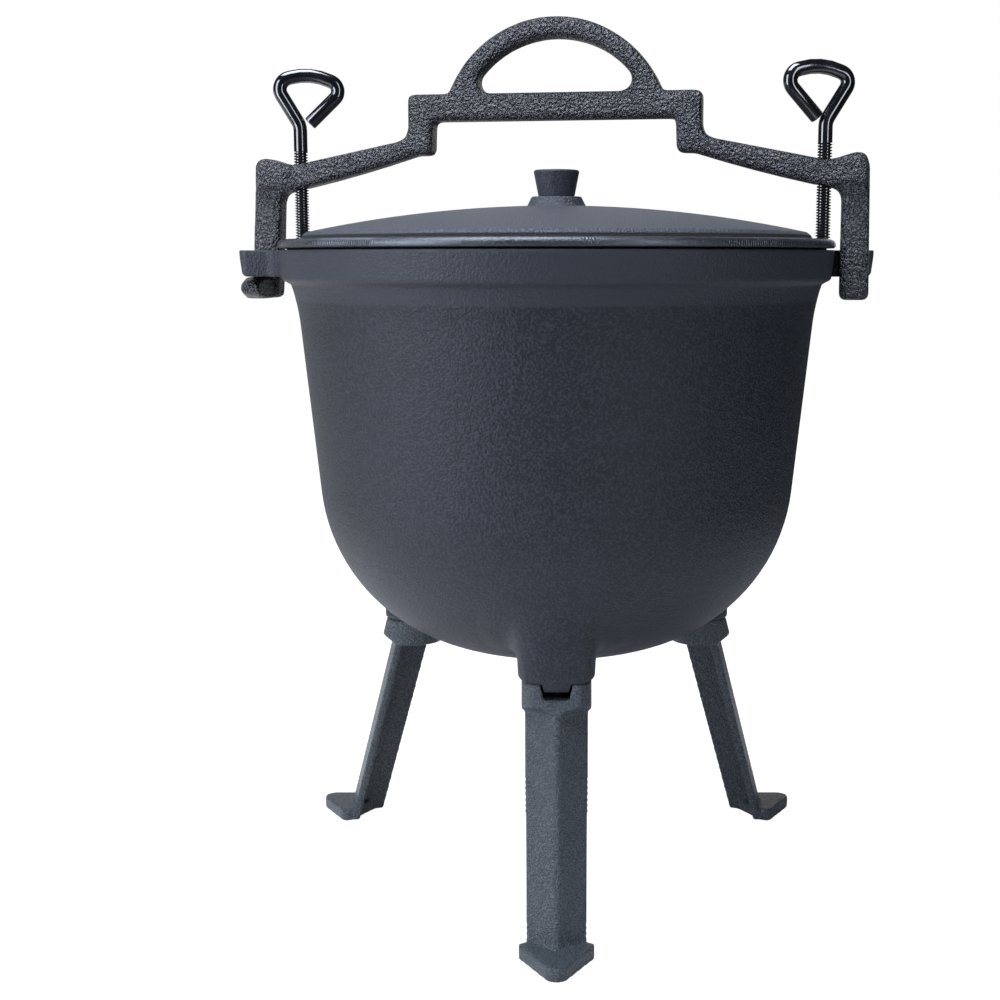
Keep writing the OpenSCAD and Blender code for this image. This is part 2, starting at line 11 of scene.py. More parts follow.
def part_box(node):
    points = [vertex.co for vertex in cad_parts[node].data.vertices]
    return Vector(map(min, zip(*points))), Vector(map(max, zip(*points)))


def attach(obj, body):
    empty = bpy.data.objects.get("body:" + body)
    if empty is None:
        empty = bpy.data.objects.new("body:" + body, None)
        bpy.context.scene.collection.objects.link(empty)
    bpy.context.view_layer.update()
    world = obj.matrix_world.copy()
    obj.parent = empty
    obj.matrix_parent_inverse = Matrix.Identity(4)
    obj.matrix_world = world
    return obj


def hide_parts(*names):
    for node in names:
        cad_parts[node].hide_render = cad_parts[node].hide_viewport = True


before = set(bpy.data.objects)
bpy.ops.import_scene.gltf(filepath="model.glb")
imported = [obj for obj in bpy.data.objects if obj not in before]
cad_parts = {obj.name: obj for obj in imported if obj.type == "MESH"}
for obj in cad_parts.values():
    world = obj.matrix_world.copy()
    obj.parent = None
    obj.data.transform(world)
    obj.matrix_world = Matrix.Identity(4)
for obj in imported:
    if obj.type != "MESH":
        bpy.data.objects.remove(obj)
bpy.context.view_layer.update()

bl_info = {
    "name": "Cast iron cauldron",
    "version": (1, 0, 0),
    "blender": (4, 5, 0),
    "location": "View3D > Sidebar > Cauldron",
    "description": "Dresses the cast iron cauldron in its castings, rods and finishes",
    "category": "Object",
}

MM = 0.001
YOKE_TURN = math.radians(-10)
MERGE = 1e-6
# A leg boss: its distance from the pot's axis and the height of its lower face
BOSS_AT = 0.0959
BOSS_LOW = 0.1344
# The part of the pot round the front boss: planes through a place, which keep what is behind them
BOSS_CUTS = (
    ((0.050, 0, 0), (1, 0, 0)),
    ((-0.050, 0, 0), (-1, 0, 0)),
    ((0, -0.045, 0), (0, 1, 0)),
    ((0, 0, 0.192), (0, 0, 1)),
    ((0, 0, BOSS_LOW), (0, 0, -1)),
)
# Where the boss's blend fades: above its lower face, away from its middle, and above the floor
BLEND_FOOT = (0.002, 0.014)
BLEND_REACH = (0.030, 0.044)
BLEND_TOP = (0.170, 0.186)
BLEND_LEAST = 0.01
# The blend's rounds of smoothing, and how far it stands behind and then proud of the pot
BLEND_ROUNDS = 70
BLEND_BEHIND = 0.00015
BLEND_PROUD = 0.00125
# A point inside the pot, the middle of its round bottom, and the radius between its inner and outer walls
POT_INSIDE = Vector((0, 0, 0.3))
BOWL_MIDDLE = Vector((0, 0, 0.3308))
BOWL_SPLIT = 0.2075
# Height from which the pot's rim band is rubbed lighter, and how many times lighter it is
BAND_FROM = 0.3185
BAND_LIGHTER = (2.1, 2.0, 1.85)
KNOB_LIGHTER = 1.9
# The lid's flange: the radius from which it is turned smooth, its groove outside that, the foot of the step
# inside it (both painted dark as shade), the cutter's chatter in waves per radian and in height, and its finish
FLANGE_FROM = 0.1385
FLANGE_GROOVE = 0.0062
FLANGE_STEP = 0.0004
CHATTER_WAVES = 620.0
CHATTER_HEIGHT = 0.45
TURNED_COLOUR = (0.085, 0.094, 0.108)
TURNED_METAL = 0.6
TURNED_ROUGHNESS = 0.18
TURNED_LESS_GRAIN = 0.75
# How much an iron's roughness swings with its mottling, and falls where it is rubbed
ROUGH_SWING = 0.08
RUBBED_SMOOTHER = 0.12
# Thread over one turn: the place along the pitch, and whether it is at the crest
THREAD_PROFILE = ((0.0, False), (0.30, False), (0.48, True), (0.82, True))
THREAD_SHARP = math.radians(42)
# Bent rod: degrees in one step of a bend, the rounding of its tip, and its reach into the thread in mm
BEND_STEP = 9
TIP_ROUND = 0.0006
ROD_IN_THREAD = 0.6
# Soft boxes: place, aim and size
BOXES = {
    "left": ((-0.80, -0.52, 0.50), (0, 0, 0.25), (0.42, 0.9)),
    "right": ((0.88, -1.21, 0.70), (0, 0, 0.25), (0.34, 1.2)),
    "top": ((-0.35, -0.2, 1.9), (0, 0, 0.3), (1.2, 1.2)),
}
BOX_COLOUR = (0.93, 0.98, 1.12)
FLOOR_SIZE = 12.0
# Each thumbscrew, in mm and degrees: where it stands along the yoke, the heights where its thread stops and
# its first bend starts, the turn of its loop, and the loop's steps: straight run, radius of the bend after
# it, and its angle, positive to the left
SCREWS = {
    "left": (-144.6, 400.0, 410.0, 8,
             [(1, 9.2, 30.9), (16.4, 6.4, -106), (1.2, 33, -37.8), (1.2, 5.5, -112.7), (19.9, 0, 0)]),
    "right": (143.4, 401.5, 408.2, 196,
              [(1, 8.9, 33.3), (17.9, 5.4, -102.5), (1.2, 35, -38.2), (1.2, 5.9, -117.1), (20.1, 0, 0)]),
}


class FinishSettings(bpy.types.PropertyGroup):
    """Colours of the castings and rods."""

    pot_colour: FloatVectorProperty(
        name="Pot", description="Colour of the pot's iron", subtype="COLOR", size=3,
        min=0, max=1, default=(0.0165, 0.0195, 0.0265))
    lid_colour: FloatVectorProperty(
        name="Lid", description="Colour of the lid's iron", subtype="COLOR", size=3,
        min=0, max=1, default=(0.045, 0.052, 0.064))
    yoke_colour: FloatVectorProperty(
        name="Yoke", description="Colour of the yoke's iron", subtype="COLOR", size=3,
        min=0, max=1, default=(0.012, 0.014, 0.018))
    leg_colour: FloatVectorProperty(
        name="Legs", description="Colour of the legs' iron", subtype="COLOR", size=3,
        min=0, max=1, default=(0.038, 0.050, 0.059))
    rod_colour: FloatVectorProperty(
        name="Rods", description="Colour of the black thumbscrews", subtype="COLOR", size=3,
        min=0, max=1, default=(0.008, 0.008, 0.010))
    zinc_colour: FloatVectorProperty(
        name="Fasteners", description="Colour of the plated bolts", subtype="COLOR", size=3,
        min=0, max=1, default=(0.20, 0.205, 0.215))
    grain: FloatProperty(
        name="Grain", description="Size of the casting's sand grain", subtype="DISTANCE",
        min=0.0003, max=0.005, default=0.0011)


class CastingSettings(bpy.types.PropertyGroup):
    """How the sharp model edges are eased as in a sand casting."""

    voxel: FloatProperty(
        name="Voxel", description="Size of the net laid over a casting", subtype="DISTANCE",
        min=0.0005, max=0.003, default=0.0011)
    ease: IntProperty(
        name="Easing", description="Rounds of smoothing over the net", min=0, max=40, default=16)


class RodSettings(bpy.types.PropertyGroup):
    """Sizes of the thumbscrews' rod and thread."""

    wire: FloatProperty(
        name="Wire", description="Radius of the plain rod", subtype="DISTANCE",
        min=0.002, max=0.006, default=0.0038)
    crest: FloatProperty(
        name="Crest", description="Radius over the thread's crests", subtype="DISTANCE",
        min=0.002, max=0.006, default=0.0039)
    pitch: FloatProperty(
        name="Pitch", description="Rise of the thread in one turn", subtype="DISTANCE",
        min=0.0008, max=0.003, default=0.0015)
    depth: FloatProperty(
        name="Depth", description="Depth of the thread", subtype="DISTANCE",
        min=0.0003, max=0.0015, default=0.0010)
    sides: IntProperty(
        name="Sides", description="Faces round the rod", min=12, max=64, default=32)


class StudioSettings(bpy.types.PropertyGroup):
    """Camera and lights."""

    camera_distance: FloatProperty(
        name="Distance", description="Camera in front of the pot's axis", subtype="DISTANCE",
        min=0.3, max=5, default=0.8754)
    camera_height: FloatProperty(
        name="Height", description="Camera above the floor", subtype="DISTANCE",
        min=0, max=3, default=0.34005)
    camera_pitch: FloatProperty(
        name="Pitch", description="Tilt of the camera below the horizon", subtype="ANGLE",
        min=0, max=1.5, default=math.radians(8.64))
    lens: FloatProperty(
        name="Lens", description="Focal length in millimetres", min=10, max=300, default=56.95)
    shift: FloatProperty(
        name="Shift", description="Sideways shift of the frame", min=-0.2, max=0.2, default=-0.0565)
    left_power: FloatProperty(
        name="Left box", description="Power of the tall soft box on the left", subtype="POWER",
        min=0, max=500, default=8.1)
    right_power: FloatProperty(
        name="Right box", description="Power of the narrow soft box on the right", subtype="POWER",
        min=0, max=500, default=7)
    top_power: FloatProperty(
        name="Top box", description="Power of the soft box overhead", subtype="POWER",
        min=0, max=500, default=38)
    room: FloatProperty(
        name="Room", description="Light of the dark room in front", min=0, max=1, default=0.01)
    sweep: FloatProperty(
        name="Sweep", description="Light of the white sweep behind the pot", min=0, max=2, default=0.65)
    bounce: FloatProperty(
        name="Bounce", description="How much light the floor near the pot gives back",
        min=0, max=1, default=0.75)


# ---------------------------------------------------------------- shared shader groups


def add_group(name, inputs, outputs):
    """An empty shader group with its sockets: (name, socket type, default)."""
    group = bpy.data.node_groups.new(name, "ShaderNodeTree")
    for label, kind, default in inputs:
        socket = group.interface.new_socket(name=label, in_out="INPUT", socket_type=kind)
        if default is not None:
            socket.default_value = default
    for label, kind in outputs:
        group.interface.new_socket(name=label, in_out="OUTPUT", socket_type=kind)
    return group, group.nodes.new("NodeGroupInput"), group.nodes.new("NodeGroupOutput")


def math_node(tree, kind, a, b=None, c=None, clamp=False):
    """A Math node whose inputs are sockets or numbers."""
    node = tree.nodes.new("ShaderNodeMath")
    node.operation = kind
    node.use_clamp = clamp
    for i, value in enumerate((a, b, c)):
        if value is None:
            continue
        if isinstance(value, (int, float)):
            node.inputs[i].default_value = value
        else:
            tree.links.new(value, node.inputs[i])
    return node.outputs[0]


def noise(tree, vector, scale, detail, roughness, distortion=0.0):
    """Noise whose scale is a socket or a number."""
    node = tree.nodes.new("ShaderNodeTexNoise")
    node.inputs["Detail"].default_value = detail
    node.inputs["Roughness"].default_value = roughness
    node.inputs["Distortion"].default_value = distortion
    tree.links.new(vector, node.inputs["Vector"])
    if isinstance(scale, (int, float)):
        node.inputs["Scale"].default_value = scale
    else:
        tree.links.new(scale, node.inputs["Scale"])
    return node.outputs["Fac"]


def remap(tree, value, low, high, to_low=0.0, to_high=1.0):
    """A value carried smoothly from one range to another."""
    node = tree.nodes.new("ShaderNodeMapRange")
    node.interpolation_type = "SMOOTHSTEP"
    for label, number in (("From Min", low), ("From Max", high), ("To Min", to_low), ("To Max", to_high)):
        node.inputs[label].default_value = number
    tree.links.new(value, node.inputs["Value"])
    return node.outputs["Result"]


def mix_colour(tree, factor, a, b):
    """A Mix node between two colours, each a socket or a tuple."""
    node = tree.nodes.new("ShaderNodeMix")
    node.data_type = "RGBA"
    tree.links.new(factor, node.inputs["Factor"])
    for socket, value in ((node.inputs[6], a), (node.inputs[7], b)):
        if isinstance(value, tuple):
            socket.default_value = (*value, 1.0)
        else:
            tree.links.new(value, socket)
    return node.outputs[2]


def times(colour, factor):
    """A colour made lighter or darker."""
    return tuple(channel * factor for channel in colour)


def split_axes(tree, where):
    """The X, Y and Z of coordinates."""
    split = tree.nodes.new("ShaderNodeSeparateXYZ")
    tree.links.new(where, split.inputs[0])
    return split.outputs["X"], split.outputs["Y"], split.outputs["Z"]


def eased_normal(tree, radius):
    """The normal as if every edge were rounded."""
    bevel = tree.nodes.new("ShaderNodeBevel")
    bevel.samples = 4
    bevel.inputs["Radius"].default_value = radius
    return bevel.outputs["Normal"]


def new_finish(name):
    """A new material, its tree, its shader and its object coordinates."""
    material = bpy.data.materials.new(name)
    material.use_nodes = True
    tree = material.node_tree
    return (material, tree, tree.nodes["Principled BSDF"],
            tree.nodes.new("ShaderNodeTexCoord").outputs["Object"])


def add_relief(tree, shader, height, strength, distance, normal=None):
    """Bump on a shader, over a normal where one is given."""
    relief = tree.nodes.new("ShaderNodeBump")
    relief.inputs["Strength"].default_value = strength
    relief.inputs["Distance"].default_value = distance
    tree.links.new(height, relief.inputs["Height"])
    if normal is not None:
        tree.links.new(normal, relief.inputs["Normal"])
    tree.links.new(relief.outputs["Normal"], shader.inputs["Normal"])


def casting_skin_group():
    """Sand grain, pits and slow mottling of a casting, from object coordinates."""
    group, given, out = add_group(
        "Casting skin",
        [("Vector", "NodeSocketVector", None), ("Grain Scale", "NodeSocketFloat", 900.0),
         ("Pits", "NodeSocketFloat", 0.3), ("Lumps", "NodeSocketFloat", 0.3)],
        [("Height", "NodeSocketFloat"), ("Mottle", "NodeSocketFloat"), ("Crest", "NodeSocketFloat")])
    vector, scale = given.outputs["Vector"], given.outputs["Grain Scale"]
    pebble = noise(group, vector, scale, 1.5, 0.55, 0.3)
    fine = noise(group, vector, math_node(group, "MULTIPLY", scale, 2.3), 2.0, 0.6)
    lump = noise(group, vector, math_node(group, "MULTIPLY", scale, 0.22), 2.0, 0.5)
    cells = group.nodes.new("ShaderNodeTexVoronoi")
    cells.feature = "F1"
    group.links.new(vector, cells.inputs["Vector"])
    group.links.new(math_node(group, "MULTIPLY", scale, 0.45), cells.inputs["Scale"])
    pit = remap(group, cells.outputs["Distance"], 0.0, 0.45, 1.0, 0.0)
    pebble = remap(group, pebble, 0.32, 0.66)
    height = math_node(group, "MULTIPLY_ADD", fine, 0.35, math_node(group, "MULTIPLY", pebble, 0.65))
    crest = remap(group, height, 0.56, 0.78)
    height = math_node(group, "SUBTRACT", height, math_node(group, "MULTIPLY", pit, given.outputs["Pits"]))
    lump = math_node(group, "MULTIPLY", lump, given.outputs["Lumps"])
    group.links.new(math_node(group, "ADD", height, lump), out.inputs["Height"])
    slow = noise(group, vector, 22.0, 4.0, 0.6)
    mottle = math_node(group, "MULTIPLY_ADD", slow, 0.6, math_node(group, "MULTIPLY", pebble, 0.4))
    group.links.new(remap(group, mottle, 0.3, 0.7), out.inputs["Mottle"])
    group.links.new(crest, out.inputs["Crest"])
    return group


def edge_wear_and_highlight_group():
    """Mask of the edges and corners, lightened partly by wear and partly by a painted highlight."""
    group, given, out = add_group(
        "Edge wear",
        [("Vector", "NodeSocketVector", None),
         ("Low", "NodeSocketFloat", 0.02), ("High", "NodeSocketFloat", 0.25)],
        [("Mask", "NodeSocketFloat")])
    geometry = group.nodes.new("ShaderNodeNewGeometry")
    dot = group.nodes.new("ShaderNodeVectorMath")
    dot.operation = "DOT_PRODUCT"
    group.links.new(eased_normal(group, 0.0012), dot.inputs[0])
    group.links.new(geometry.outputs["Normal"], dot.inputs[1])
    bend = math_node(group, "SUBTRACT", 1.0, dot.outputs["Value"])
    broken = noise(group, given.outputs["Vector"], 260.0, 3.0, 0.6)
    bend = math_node(group, "MULTIPLY", bend, remap(group, broken, 0.35, 0.6, 0.4, 1.0))
    edge = group.nodes.new("ShaderNodeMapRange")
    edge.interpolation_type = "SMOOTHSTEP"
    group.links.new(bend, edge.inputs["Value"])
    group.links.new(given.outputs["Low"], edge.inputs["From Min"])
    group.links.new(given.outputs["High"], edge.inputs["From Max"])
    group.links.new(edge.outputs["Result"], out.inputs["Mask"])
    return group


GROUPS = {}


# ---------------------------------------------------------------- finishes


def place_group(tree, key, where, **values):
    """One of the shared groups, placed in a material with its own values."""
    if key not in GROUPS:
        GROUPS[key] = {"skin": casting_skin_group, "wear_and_highlight": edge_wear_and_highlight_group}[key]()
    node = tree.nodes.new("ShaderNodeGroup")
    node.node_tree = GROUPS[key]
    for label, value in values.items():
        node.inputs[label.replace("_", " ")].default_value = value
    tree.links.new(where, node.inputs["Vector"])
    return node


def iron(name, colour, light, roughness, grain, bump, pits, lumps, wear_and_highlight, crest, ease, gloss,
         depth=1.0, turned=None, band=None):
    """Material of one casting.

    light is the colour of its crests and edges, partly wear and partly painted highlight, turned the radius
    from which its flange is turned smooth, and band the height from which its rim is rubbed lighter.
    """
    material, tree, shader, where = new_finish(name)
    skin = place_group(tree, "skin", where, Grain_Scale=1.0 / grain, Pits=pits, Lumps=lumps)
    worn_and_highlit_edges = place_group(tree, "wear_and_highlight", where)
    base = mix_colour(tree, skin.outputs["Mottle"], times(colour, 0.8), times(colour, 1.2))
    # Crests of the grain painted lighter: partly wear, partly painted highlight
    base = mix_colour(tree, math_node(tree, "MULTIPLY", skin.outputs["Crest"], crest), base, light)
    # Edges painted lighter: partly wear, partly painted highlight
    worn_and_highlit = math_node(tree, "MULTIPLY", worn_and_highlit_edges.outputs["Mask"], wear_and_highlight)
    base = mix_colour(tree, worn_and_highlit, base, light)
    if band:
        rim = tuple(channel * factor for channel, factor in zip(colour, BAND_LIGHTER))
        base = mix_colour(tree, rim_band(tree, where, band), base, rim)
    rough = math_node(tree, "MULTIPLY_ADD", skin.outputs["Mottle"], ROUGH_SWING, roughness - ROUGH_SWING / 2)
    rough = math_node(tree, "MULTIPLY_ADD", worn_and_highlit, -RUBBED_SMOOTHER, rough, clamp=True)
    height = skin.outputs["Height"]
    if turned:
        smooth, ripple, groove = turned_flange(tree, where, turned)
        rough = math_node(tree, "MULTIPLY_ADD", smooth, TURNED_ROUGHNESS - roughness, rough, clamp=True)
        rough = math_node(tree, "MULTIPLY_ADD", groove, 0.4, rough, clamp=True)
        grainy = math_node(tree, "MULTIPLY_ADD", smooth, -TURNED_LESS_GRAIN, 1.0)
        height = math_node(tree, "ADD", math_node(tree, "MULTIPLY", height, grainy), ripple)
        base = mix_colour(tree, smooth, base, TURNED_COLOUR)
        # The flange's groove and the foot of its step painted near black: painted shade
        base = mix_colour(tree, groove, base, times(colour, 0.04))
        tree.links.new(math_node(tree, "MULTIPLY", smooth, TURNED_METAL), shader.inputs["Metallic"])
    tree.links.new(base, shader.inputs["Base Color"])
    tree.links.new(rough, shader.inputs["Roughness"])
    shader.inputs["Specular IOR Level"].default_value = gloss
    add_relief(tree, shader, height, bump, grain * depth, eased_normal(tree, ease))
    return material


def turned_flange(tree, where, radius):
    """A flange turned smooth outside a radius: its mask, its relief and its grooves, where shade is painted.

    The relief is the chatter that the cutter left along parts of it, less the grooves.
    """
    x, y, _ = split_axes(tree, where)
    out = math_node(tree, "SQRT", math_node(tree, "ADD", math_node(tree, "MULTIPLY", x, x),
                                            math_node(tree, "MULTIPLY", y, y)))
    smooth = remap(tree, out, radius - 0.0003, radius + 0.0003)
    turn = math_node(tree, "MULTIPLY", math_node(tree, "ARCTAN2", y, x), CHATTER_WAVES)
    wave = math_node(tree, "MULTIPLY_ADD", math_node(tree, "SINE", turn), 0.5, 0.5)
    arcs = remap(tree, noise(tree, where, 16.0, 1.0, 0.5), 0.46, 0.56)
    ripple = math_node(tree, "MULTIPLY", math_node(tree, "MULTIPLY", wave, arcs), smooth)
    groove = turned_line(tree, out, radius + FLANGE_GROOVE, 0.0005, 0.0011)
    step = turned_line(tree, out, radius - FLANGE_STEP, 0.0004, 0.0010)
    groove = math_node(tree, "MAXIMUM", groove, step)
    ripple = math_node(tree, "SUBTRACT", math_node(tree, "MULTIPLY", ripple, CHATTER_HEIGHT), groove)
    return smooth, ripple, groove


def turned_line(tree, out, radius, core, edge):
    """Mask of a line at a radius, full to core from its middle and gone at edge."""
    off = math_node(tree, "ABSOLUTE", math_node(tree, "SUBTRACT", out, radius))
    return remap(tree, off, core, edge, 1.0, 0.0)


def rim_band(tree, where, height):
    """Mask of the rim band, lighter than the wall below it."""
    _, _, up = split_axes(tree, where)
    return remap(tree, up, height - MM, height + MM)


def black_rod(name, colour):
    """Smooth black finish of the bent rods, rough, uncoated and painted darker as shade at the bottom of the
    thread's grooves.
    """
    material, tree, shader, where = new_finish(name)
    cloud = noise(tree, where, 60.0, 3.0, 0.5)
    mark = tree.nodes.new("ShaderNodeAttribute")
    mark.attribute_name = "groove"
    groove = mark.outputs["Fac"]
    base = mix_colour(tree, remap(tree, cloud, 0.4, 0.7), colour, times(colour, 2.2))
    # Edges painted lighter: partly wear, partly painted highlight
    worn_and_highlit = math_node(tree, "MULTIPLY", place_group(tree, "wear_and_highlight", where).outputs["Mask"], 0.10)
    base = mix_colour(tree, worn_and_highlit, base, (0.12, 0.12, 0.13))
    # The bottom of the thread's grooves painted darker: painted shade
    tree.links.new(mix_colour(tree, groove, base, (0.002, 0.002, 0.002)), shader.inputs["Base Color"])
    rough = remap(tree, cloud, 0.3, 0.75, 0.09, 0.14)
    tree.links.new(math_node(tree, "MULTIPLY_ADD", groove, 0.8, rough, clamp=True), shader.inputs["Roughness"])
    tree.links.new(math_node(tree, "SUBTRACT", 1.0, groove), shader.inputs["Coat Weight"])
    shader.inputs["Specular IOR Level"].default_value = 0.8
    shader.inputs["Coat Roughness"].default_value = 0.08
    add_relief(tree, shader, noise(tree, where, 900.0, 2.0, 0.5), 0.03, 0.0003)
    return material


def zinc_plate(name, colour):
    """Dull zinc plating of the bolts and washers."""
    material, tree, shader, where = new_finish(name)
    cloud = noise(tree, where, 320.0, 4.0, 0.65)
    base = mix_colour(tree, remap(tree, cloud, 0.35, 0.7), times(colour, 0.75), colour)
    tree.links.new(base, shader.inputs["Base Color"])
    tree.links.new(remap(tree, cloud, 0.3, 0.7, 0.32, 0.5), shader.inputs["Roughness"])
    shader.inputs["Metallic"].default_value = 1.0
    add_relief(tree, shader, cloud, 0.15, 0.0002)
    return material


# ---------------------------------------------------------------- pieces


def put(name, mesh, body, material):
    """Adds a piece with its finish, riding on its body."""
    piece = bpy.data.objects.new(name, mesh)
    bpy.context.scene.collection.objects.link(piece)
    piece.data.materials.clear()
    piece.data.materials.append(material)
    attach(piece, body)
    return piece


def dress(node, material):
    """Gives a model node its finish."""
    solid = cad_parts[node]
    if not solid.material_slots:
        solid.data.materials.append(material)
    for place in solid.material_slots:
        place.material = material


def node_net(node):
    """A bmesh copy of a model node, its loose triangles joined."""
    net = bmesh.new()
    net.from_mesh(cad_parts[node].data)
    bmesh.ops.remove_doubles(net, verts=net.verts[:], dist=MERGE)
    return net


def add_net(piece, voxel):
    """Lays a close net of even faces over a piece."""
    remesh = piece.modifiers.new("Net", "REMESH")
    remesh.mode = "VOXEL"
    remesh.voxel_size = voxel
    remesh.use_smooth_shade = True


def eased_casting(name, node, body, material, voxel, rounds):
    """A casting with the model's shape and eased edges: a close net over the model node, smoothed."""
    net = node_net(node)
    mesh = bpy.data.meshes.new(name)
    net.to_mesh(mesh)
    net.free()
    piece = put(name, mesh, body, material)
    add_net(piece, voxel)
    ease = piece.modifiers.new("Ease", "SMOOTH")
    ease.factor = 0.5
    ease.iterations = rounds
    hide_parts(node)
    return piece


def smooth_step(value, low, high):
    """0 up to low and 1 from high, smooth between them."""
    t = min(1.0, max(0.0, (value - low) / (high - low)))
    return t * t * (3 - 2 * t)


def blend_weight(point):
    """How far the blend between pot and boss reaches at a point, for the boss in front."""
    away = math.hypot(point.x, point.y + BOSS_AT)
    low = smooth_step(point.z, BOSS_LOW + BLEND_FOOT[0], BOSS_LOW + BLEND_FOOT[1])
    return low * (1 - smooth_step(away, *BLEND_REACH)) * (1 - smooth_step(point.z, *BLEND_TOP))


def boss_net(voxel):
    """A close net over the part of the pot round its front boss."""
    net = node_net("pot")
    for place, way in BOSS_CUTS:
        cut = bmesh.ops.bisect_plane(net, geom=net.verts[:] + net.edges[:] + net.faces[:], dist=1e-7,
                                     plane_co=place, plane_no=way, clear_outer=True)["geom_cut"]
        bmesh.ops.holes_fill(net, edges=[g for g in cut if isinstance(g, bmesh.types.BMEdge)], sides=0)
    rough = bpy.data.meshes.new("boss_net")
    net.to_mesh(rough)
    net.free()
    lump = bpy.data.objects.new("boss_net", rough)
    bpy.context.scene.collection.objects.link(lump)
    add_net(lump, voxel)
    ready = bpy.data.meshes.new_from_object(lump.evaluated_get(bpy.context.evaluated_depsgraph_get()))
    bpy.data.objects.remove(lump)
    bpy.data.meshes.remove(rough)
    return ready


def boss_blends(material, casting):
    """Soft cast blends over the three bosses: each a close net over that part of the pot, smoothed."""
    ready = boss_net(casting.voxel)
    for side, turn in (("front", 0), ("left", -120), ("right", 120)):
        net = bmesh.new()
        net.from_mesh(ready)
        inner = [f for f in net.faces if f.normal.dot(f.calc_center_median() - POT_INSIDE) < 0
                 and (f.calc_center_median() - BOWL_MIDDLE).length < BOWL_SPLIT]
        bare = [f for f in net.faces if max(blend_weight(v.co) for v in f.verts) < BLEND_LEAST]
        bmesh.ops.delete(net, geom=list(set(inner + bare)), context="FACES")
        weights = [blend_weight(v.co) for v in net.verts]
        bmesh.ops.rotate(net, verts=net.verts[:], matrix=Matrix.Rotation(math.radians(turn), 3, "Z"))
        mesh = bpy.data.meshes.new("boss_blend_" + side)
        net.to_mesh(mesh)
        net.free()
        mesh.shade_smooth()
        piece = put("boss_blend_" + side, mesh, "cauldron", material)
        group = piece.vertex_groups.new(name="blend")
        for i, weight in enumerate(weights):
            group.add([i], weight, "REPLACE")
        ease = piece.modifiers.new("Ease", "SMOOTH")
        ease.factor, ease.iterations, ease.vertex_group = 0.5, BLEND_ROUNDS, "blend"
        for label, proud, part in (("Under", -BLEND_BEHIND, ""), ("Proud", BLEND_PROUD, "blend")):
            shift = piece.modifiers.new(label, "DISPLACE")
            shift.strength, shift.mid_level, shift.vertex_group = proud, 0.0, part
    bpy.data.meshes.remove(ready)


class CAULDRON_OT_pot(bpy.types.Operator):
    """Finishes the pot and the lid with its knob"""

    bl_idname = "cauldron.pot"
    bl_label = "Pot and lid"

    def execute(self, context):
        looks, casting = context.scene.cauldron_finish, context.scene.cauldron_casting
        pot = iron("Pot iron", tuple(looks.pot_colour), light=(0.10, 0.115, 0.14),
                   roughness=0.50, grain=looks.grain * 1.1, bump=0.32, pits=0.1, lumps=0.9,
                   wear_and_highlight=0.5, crest=0.15, ease=0.0025, gloss=0.40, band=BAND_FROM)
        lid = iron("Lid iron", tuple(looks.lid_colour), light=(0.14, 0.155, 0.175),
                   roughness=0.48, grain=looks.grain * 0.9, bump=0.60, pits=0.1, lumps=0.6,
                   wear_and_highlight=0.6, crest=0.35, ease=0.0024, gloss=0.6, turned=FLANGE_FROM)
        knob = iron("Knob iron", times(looks.pot_colour, KNOB_LIGHTER), light=(0.12, 0.135, 0.16),
                    roughness=0.42, grain=looks.grain * 0.7, bump=0.40, pits=0.1, lumps=0.5,
                    wear_and_highlight=0.8, crest=0.15, ease=0.0008, gloss=0.4)
        dress("pot", pot)
        dress("lid", lid)
        dress("lid_knob", knob)
        boss_blends(pot, casting)
        return {"FINISHED"}


class CAULDRON_OT_yoke(bpy.types.Operator):
    """Makes the rough casting of the carrying yoke"""

    bl_idname = "cauldron.yoke"
    bl_label = "Carrying yoke"

    def execute(self, context):
        looks, casting = context.scene.cauldron_finish, context.scene.cauldron_casting
        material = iron("Yoke iron", tuple(looks.yoke_colour), light=(0.10, 0.11, 0.13),
                        roughness=0.27, grain=looks.grain * 1.35, bump=1.0, pits=0.2, lumps=0.5,
                        wear_and_highlight=0.05, crest=0.4, ease=0.001, gloss=1.0)
        eased_casting("yoke_casting", "yoke", "yoke", material, casting.voxel, casting.ease)
        return {"FINISHED"}


class CAULDRON_OT_legs(bpy.types.Operator):
    """Makes the three sandy leg castings"""

    bl_idname = "cauldron.legs"
    bl_label = "Legs"

    def execute(self, context):
        looks, casting = context.scene.cauldron_finish, context.scene.cauldron_casting
        material = iron("Leg iron", tuple(looks.leg_colour), light=(0.19, 0.22, 0.245),
                        roughness=0.30, grain=looks.grain * 0.75, bump=1.0, pits=0.15, lumps=0.2,
                        wear_and_highlight=0.8, crest=0.22, ease=0.001, gloss=0.6, depth=0.7)
        # The legs' edges are crisper than the yoke's: a closer net, and half the rounds
        for side in ("front", "left", "right"):
            eased_casting("leg_casting_" + side, "leg_" + side, "cauldron", material,
                          casting.voxel * 0.8, casting.ease // 2)
        return {"FINISHED"}


